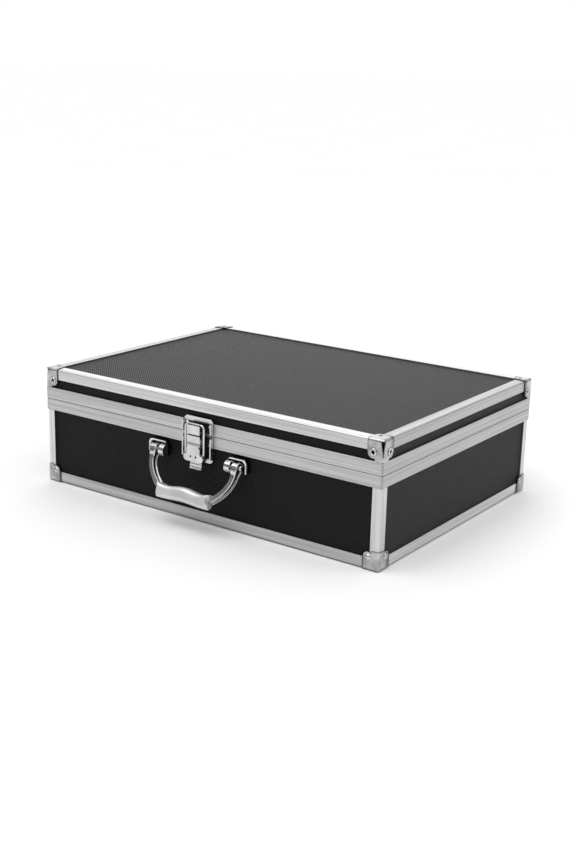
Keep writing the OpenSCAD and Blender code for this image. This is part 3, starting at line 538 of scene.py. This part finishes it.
def bow_path(side):
    """(x, s, direction, half width, half thickness) from the head of one arm to the middle of the grip."""
    path = []
    for i in range(9):
        turn = math.pi / 2 * i / 8
        s, half_t = -HEAD_R * math.cos(turn), max(HEAD_R * math.sin(turn), 0.5)
        path.append((ARM_X, s, (0.0, 1.0), ARM_HALF_W, half_t))
    first, last = math.radians(4.0), math.radians(52.0)
    steps = 36
    for i in range(steps + 1):
        t = i / steps
        angle = first + (last - first) * t
        radius = ARM_X + 1.5 * ease(t * 3) - 1.7 * ease((t - 0.4) / 0.6)
        half_t = HEAD_R - (HEAD_R - STRAP_T) * ease(t * 4.5)
        half_w = ARM_HALF_W - 0.85 * ease(t * 3.2)
        path.append((radius * math.cos(angle), ARC_TOP + radius * math.sin(angle),
                     (-math.sin(angle), math.cos(angle)), half_w, half_t))
    x0, s0 = path[-1][0], path[-1][1]
    for x in (x0 - 3, x0 - 8, 10.0, 0.0):
        t = (x0 - x) / x0
        path.append((x, s0 + (CORE_S - s0) * ease(t * 2), (-1.0, 0.0), CORE_HALF, CORE_HALF))
    return [(side * x, s, (side * d[0], d[1]), w, h) for x, s, d, w, h in path]


def crisp(obj, width, angle=32.0):
    """A fine rounded edge where faces meet sharply, and smooth shading elsewhere."""
    edge = obj.modifiers.new("edge", "BEVEL")
    edge.width = width
    edge.segments = 2
    edge.limit_method = "ANGLE"
    edge.angle_limit = math.radians(angle)
    even = obj.modifiers.new("even", "WEIGHTED_NORMAL")
    even.keep_sharp = True


def bow_piece():
    bm = bmesh.new()
    for side in (-1, 1):
        rings = []
        for x, s, direction, half_w, half_t in bow_path(side):
            sideways = (direction[1], -direction[0])
            rings.append([in_handle(x + a * sideways[0], b, s + a * sideways[1])
                          for a, b in strap_section(half_w, half_t)])
        loft(bm, rings)
    obj = link("handle_bow", bm, chrome, "handle", ["handle_bail"])
    crisp(obj, 0.12 * MM)
    return obj


GRIP_WAIST = 25.3


def grip_point(u, n, s):
    """u runs from -1 to 1 along the grip. One end flares to a point at the front, and the other behind."""
    low = ease((s - 33.0) / 5.4) ** 1.3
    towards_front = ease((3.0 - n) / 9.0)
    flare = 2.2 * ease((29.5 - s) / 3.5)
    if u > 0:
        flare += low * (5.0 * towards_front - 1.5 * (1.0 - towards_front))
    else:
        flare += low * (4.6 * (1.0 - towards_front) - 1.2 * towards_front)
    reach = GRIP_WAIST + flare * ease((abs(u) - 0.72) / 0.28)
    return in_handle(u * reach, n, s)


def grip_piece():
    """Moulded grip: raised middle above, slightly arched below, ends flared round the bow."""
    bm = bmesh.new()
    rings = []
    steps = 44
    for i in range(steps + 1):
        u = -1 + 2 * i / steps
        v = abs(u)
        top = 25.7 + 2.1 * ease(v / 0.75) - 1.3 * ease((v - 0.8) / 0.2)
        bottom = 37.9 + 0.9 * ease(v / 0.8)
        front = -(7.4 - 0.5 * ease(v / 0.6) + 0.6 * ease((v - 0.75) / 0.25))
        back = 5.2 + 0.4 * ease((v - 0.75) / 0.25)
        half_n, half_s = (back - front) / 2, (bottom - top) / 2
        mid_n, mid_s = (back + front) / 2, (bottom + top) / 2
        power = 3.4 + 2.2 * ease((v - 0.5) / 0.5)
        outline = superellipse(half_n, half_s, power, 48)
        rings.append([grip_point(u, mid_n + a, mid_s + b) for a, b in outline])
    loft(bm, rings)
    obj = link("handle_grip_moulded", bm, grip_skin, "handle", ["handle_grip"])
    crisp(obj, 0.35 * MM, 40.0)
    return obj


bow_piece()
grip_piece()


# ---------------------------------------------------------------- foam

PAD_INSET = 0.3 * MM


def close_pad(bm, front, back):
    """Faces over the grid in front, walls round its rim and one face across the back."""
    nx, ny = len(front) - 1, len(front[0]) - 1
    for i in range(nx):
        for j in range(ny):
            bm.faces.new((front[i][j], front[i + 1][j], front[i + 1][j + 1], front[i][j + 1]))
    rim = [(i, 0) for i in range(nx)] + [(nx, j) for j in range(ny)]
    rim += [(i, ny) for i in range(nx, 0, -1)] + [(0, j) for j in range(ny, 0, -1)]
    for (i, j), (k, m) in zip(rim, rim[1:] + rim[:1]):
        bm.faces.new((front[i][j], front[k][m], back[k][m], back[i][j]))
    bm.faces.new([back[i][j] for i, j in rim])


CELLS_PER_BUMP = 6
RIM_HEIGHT = 0.55    # how far a bump rises where the pad is cut off, as a share


def egg_crate(name, node, body, pitch, depth, facing):
    """Convoluted foam pad that fills a CAD slab; facing is -1 where the bumps point down."""
    low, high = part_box(node)
    inset = PAD_INSET
    nx = int((high.x - low.x) / pitch * CELLS_PER_BUMP)
    ny = int((high.y - low.y) / pitch * CELLS_PER_BUMP)
    bm = bmesh.new()
    flat = high.z - inset if facing < 0 else low.z + inset
    crest = low.z + inset if facing < 0 else high.z - inset
    grid, back = [], []
    for i in range(nx + 1):
        row, plain = [], []
        for j in range(ny + 1):
            x = low.x + inset + (high.x - low.x - 2 * inset) * i / nx
            y = low.y + inset + (high.y - low.y - 2 * inset) * j / ny
            across = 1 + math.cos(2 * math.pi * (x - low.x) / pitch)
            along = 1 + math.cos(2 * math.pi * (y - low.y) / pitch)
            wave = 0.25 * across * along
            rim = min(i, j, nx - i, ny - j)
            fade = RIM_HEIGHT if rim == 0 else 1.0
            z = crest - facing * depth * (1 - wave * fade)
            row.append(bm.verts.new((x, y, z)))
            if i in (0, nx) or j in (0, ny):
                plain.append(bm.verts.new((x, y, flat)))
            else:
                plain.append(None)
        grid.append(row)
        back.append(plain)
    close_pad(bm, grid, back)
    obj = link(name, bm, foam_skin, body, [node])
    return obj


PAD_CELLS = (84, 60)
PAD_RIM_R = 3.0 * MM


def floor_pad(name, node, body):
    """Flat foam pad with a soft rounded rim and a faintly uneven top."""
    low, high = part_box(node)
    inset = PAD_INSET
    nx, ny = PAD_CELLS
    bm = bmesh.new()
    top, under = [], []
    for i in range(nx + 1):
        top.append([])
        under.append([])
        for j in range(ny + 1):
            x = low.x + inset + (high.x - low.x - 2 * inset) * i / nx
            y = low.y + inset + (high.y - low.y - 2 * inset) * j / ny
            edge = min(x - low.x, high.x - x, y - low.y, high.y - y) - inset
            drop = 0.0
            if edge <= PAD_RIM_R:
                drop = PAD_RIM_R - math.sqrt(max(PAD_RIM_R ** 2 - (PAD_RIM_R - edge) ** 2, 0.0))
            ripple = 0.18 * MM * (math.sin(x * 61) * math.sin(y * 47 + 1.0) + math.sin(x * 23 + y * 31) - 1.6)
            top[i].append(bm.verts.new((x, y, high.z - inset - drop + ripple)))
            under[i].append(bm.verts.new((x, y, low.z + inset)) if i in (0, nx) or j in (0, ny) else None)
    close_pad(bm, top, under)
    obj = link(name, bm, foam_skin, body, [node])
    return obj


BEND_STEPS = 5
WALL_STEPS = 8


def wall_lining(name, node, body):
    """Black non-woven cloth round the inside of the walls, with a turned hem along its top edge."""
    low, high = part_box(node)
    inset, corner_r, step = 0.15 * MM, 4.0 * MM, 7.0 * MM
    half_x, half_y = (high.x - low.x) / 2 - inset, (high.y - low.y) / 2 - inset
    middle_x, middle_y = (high.x + low.x) / 2, (high.y + low.y) / 2
    path = []
    for quarter in range(4):
        turn = math.pi / 2 * quarter
        ahead = Vector((math.cos(turn), math.sin(turn)))
        out = Vector((math.sin(turn), -math.cos(turn)))
        run, offset = (half_x, half_y) if quarter % 2 == 0 else (half_y, half_x)
        count = int(2 * (run - corner_r) / step)
        for i in range(count):
            along = (run - corner_r) * (2 * i / count - 1)
            path.append((ahead * along + out * offset, out))
        for i in range(BEND_STEPS):
            bend = math.pi / 2 * i / BEND_STEPS
            way = out * math.cos(bend) + ahead * math.sin(bend)
            path.append((ahead * (run - corner_r) + out * (offset - corner_r) + way * corner_r, way))
    tall = high.z - low.z - 2 * inset
    hem, hem_t, cloth_t = 7.0 * MM, 1.2 * MM, 0.8 * MM
    bm = bmesh.new()
    rings = []
    length = 0.0
    last = path[-1][0]
    for spot, way in path:
        length += (spot - last).length
        last = spot
        section = [(0.0, 0.0), (0.0, tall - 0.3 * MM), (0.25 * hem_t, tall), (0.75 * hem_t, tall),
                   (hem_t, tall - 0.4 * MM), (hem_t, tall - hem + 0.6 * MM), (cloth_t, tall - hem)]
        for i in range(1, WALL_STEPS):
            level = 1 - i / WALL_STEPS
            pucker = 0.16 * MM * math.sin(length * 95 + 2.0 * level) * math.sin(length * 31 + 5.0 * level)
            section.append((cloth_t + pucker * math.sin(math.pi * level), (tall - hem) * level))
        section.append((cloth_t, 0.0))
        rings.append([bm.verts.new((middle_x + spot.x - way.x * deep, middle_y + spot.y - way.y * deep,
                                    low.z + inset + up)) for deep, up in section])
    around = len(rings[0])
    for first, second in zip(rings, rings[1:] + rings[:1]):
        for i in range(around):
            j = (i + 1) % around
            bm.faces.new((first[i], first[j], second[j], second[i]))
    obj = link(name, bm, lining_skin, body, [node])
    return obj


egg_crate("lid_foam_egg_crate", "lid_foam", "lid", 24 * MM, 8 * MM, -1)
wall_lining("base_wall_cloth", "base_wall_lining", "base")
floor_pad("base_foam_pad", "base_foam", "base")


# ---------------------------------------------------------------- floor, light and camera

CARD_WAY = (-0.552, -0.747, 0.369)
CARD_EDGE, CARD_CORE = 0.86, 0.97    # cosines of the angle from the card's middle
CARD_SHADE = 0.42


def bearing(azimuth, elevation):
    """Unit vector from the case towards a place; azimuth 0 is the front, and both are in degrees."""
    a, e = math.radians(azimuth), math.radians(elevation)
    return Vector((math.sin(a) * math.cos(e), -math.cos(a) * math.cos(e), math.sin(e)))


def studio_world():
    """Soft white room: bright overhead and dimmer towards the horizon, with one dark card low in front."""
    world = bpy.data.worlds.new("studio")
    bpy.context.scene.world = world
    world.use_nodes = True
    tree = world.node_tree
    background = tree.nodes["Background"]
    coords = tree.nodes.new("ShaderNodeTexCoord")
    split = tree.nodes.new("ShaderNodeSeparateXYZ")
    tree.links.new(coords.outputs["Generated"], split.inputs[0])
    room = remap(tree, split.outputs[2], 0.0, 0.6, 0.22, 0.95)
    towards = tree.nodes.new("ShaderNodeVectorMath")
    towards.operation = "DOT_PRODUCT"
    towards.inputs[1].default_value = CARD_WAY
    tree.links.new(coords.outputs["Generated"], towards.inputs[0])
    card = remap(tree, towards.outputs["Value"], CARD_EDGE, CARD_CORE, 1.0, CARD_SHADE)
    room = math_node(tree, "MULTIPLY", room, card)
    path = tree.nodes.new("ShaderNodeLightPath")
    seen = tree.nodes.new("ShaderNodeMix")
    tree.links.new(path.outputs["Is Camera Ray"], seen.inputs[0])
    tree.links.new(room, seen.inputs[2])
    seen.inputs[3].default_value = 1.0
    tree.links.new(seen.outputs[0], background.inputs["Strength"])
    background.inputs["Color"].default_value = (1, 1, 1, 1)


FLOOR_HALF = 30.0


def studio_floor():
    mesh = bpy.data.meshes.new("floor")
    corners = [(x * FLOOR_HALF, y * FLOOR_HALF, 0) for x, y in ((-1, -1), (1, -1), (1, 1), (-1, 1))]
    mesh.from_pydata(corners, [], [(0, 1, 2, 3)])
    floor = bpy.data.objects.new("floor", mesh)
    bpy.context.scene.collection.objects.link(floor)
    mat, tree, shader = new_material("floor_pale")
    vector, _ = object_xyz(tree)
    cloud = noise(tree, vector, 3.0, 2.0)
    colour = mix_colour(tree, cloud, (0.84, 0.84, 0.84), (0.87, 0.87, 0.87))
    tree.links.new(colour, shader.inputs["Base Color"])
    shader.inputs["Roughness"].default_value = 0.8
    shader.inputs["Specular IOR Level"].default_value = 0.1
    mesh.materials.append(mat)


def lamp(name, kind, azimuth, elevation, distance, spread, power):
    """spread is a sun's angle in degrees, or the side of a square area lamp in metres."""
    data = bpy.data.lights.new(name, kind)
    data.energy = power
    if kind == "SUN":
        data.angle = math.radians(spread)
    else:
        data.shape = "SQUARE"
        data.size = spread
    obj = bpy.data.objects.new(name, data)
    way = bearing(azimuth, elevation)
    obj.location = way * distance
    obj.rotation_euler = (-way).to_track_quat("-Z", "Y").to_euler()
    bpy.context.scene.collection.objects.link(obj)


def studio():
    studio_world()
    studio_floor()
    lamp("key_soft", "SUN", -25, 62, 3.0, 55.0, 1.25)
    lamp("rim_right", "AREA", 110, 35, 1.6, 0.7, 2.4)
    lamp("back_soft", "AREA", 215, 24, 3.0, 2.2, 15.0)


CAMERA_AZIMUTH, CAMERA_ELEVATION, CAMERA_ROLL = 35.115, 16.326, 1.468
CAMERA_DISTANCE = 1.1265
FOCAL_LENGTH, SENSOR_WIDTH = 52.76, 36.0


def camera():
    """The photograph's viewpoint, from a camera fitted to seven corners of the case."""
    data = bpy.data.cameras.new("camera")
    data.lens = FOCAL_LENGTH
    data.sensor_width = SENSOR_WIDTH
    data.clip_end = 100.0
    cam = bpy.data.objects.new("camera", data)
    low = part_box("bottom_cap_front_left")[0]
    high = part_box("top_cap_back_right")[1]
    centre = (low + high) / 2
    aim = Vector((centre.x + 5.2 * MM, centre.y - 7.4 * MM, centre.z - 0.1 * MM))
    a, roll = math.radians(CAMERA_AZIMUTH), math.radians(CAMERA_ROLL)
    way = bearing(CAMERA_AZIMUTH, CAMERA_ELEVATION)
    cam.location = aim + way * CAMERA_DISTANCE
    right = Vector((math.cos(a), math.sin(a), 0.0))
    up = way.cross(right)
    across = math.cos(roll) * right + math.sin(roll) * up
    upward = -math.sin(roll) * right + math.cos(roll) * up
    turn = cam.matrix_world.to_3x3()
    turn.col[0], turn.col[1], turn.col[2] = across, upward, way
    cam.rotation_euler = turn.to_euler()
    bpy.context.scene.collection.objects.link(cam)
    bpy.context.scene.camera = cam


studio()
camera()
bpy.context.scene.view_settings.view_transform = "Standard"
